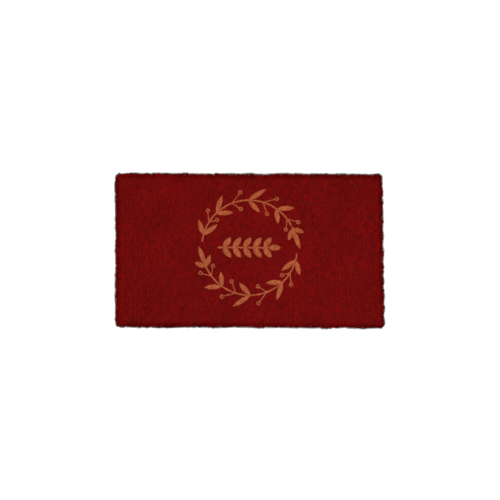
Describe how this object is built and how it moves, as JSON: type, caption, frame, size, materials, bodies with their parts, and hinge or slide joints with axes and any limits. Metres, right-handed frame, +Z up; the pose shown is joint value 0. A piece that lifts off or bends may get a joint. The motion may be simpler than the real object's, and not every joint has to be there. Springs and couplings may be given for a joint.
{
  "type": "door mat",
  "caption": "Rectangular hand-woven coir door mat: dark red cut pile with an inlaid leaf wreath and twig, on a corded ground weave with laced edges.",
  "frame": {"origin": "middle of the mat's underside, on the floor that it lies on", "axes": "+X along the long side, +Y along the short side towards the top of the design, +Z up out of the pile"},
  "size_m": [0.7, 0.4, 0.0254],
  "materials": {
    "field_pile": "dark red dyed coir fibre, cut pile, matt",
    "inlay_pile": "tan coir fibre, cut pile, matt",
    "warp_cord": "two-ply natural coir cord, hairy",
    "weft_cord": "two-ply natural coir cord, hairy",
    "edge_cord": "thick three-ply coir rope",
    "edge_lacing": "thin coir lacing yarn"
  },
  "bodies": {
    "root": {"lower_warps": "warp_cord", "wefts": "weft_cord", "upper_warps": "warp_cord", "front_edge_cord": "edge_cord", "back_edge_cord": "edge_cord", "left_edge_cord": "edge_cord", "right_edge_cord": "edge_cord", "front_edge_lacing": "edge_lacing", "back_edge_lacing": "edge_lacing", "left_edge_lacing": "edge_lacing", "right_edge_lacing": "edge_lacing", "field_pile": "field_pile", "upper_sprig_stem": "inlay_pile", "upper_sprig_leaves": "inlay_pile", "upper_sprig_stalks": "inlay_pile", "upper_sprig_berries": "inlay_pile", "upper_berry_centres": "field_pile", "lower_sprig_stem": "inlay_pile", "lower_sprig_leaves": "inlay_pile", "lower_sprig_stalks": "inlay_pile", "lower_sprig_berries": "inlay_pile", "lower_berry_centres": "field_pile", "twig_stem": "inlay_pile", "twig_leaves": "inlay_pile"}
  },
  "joints": []
}
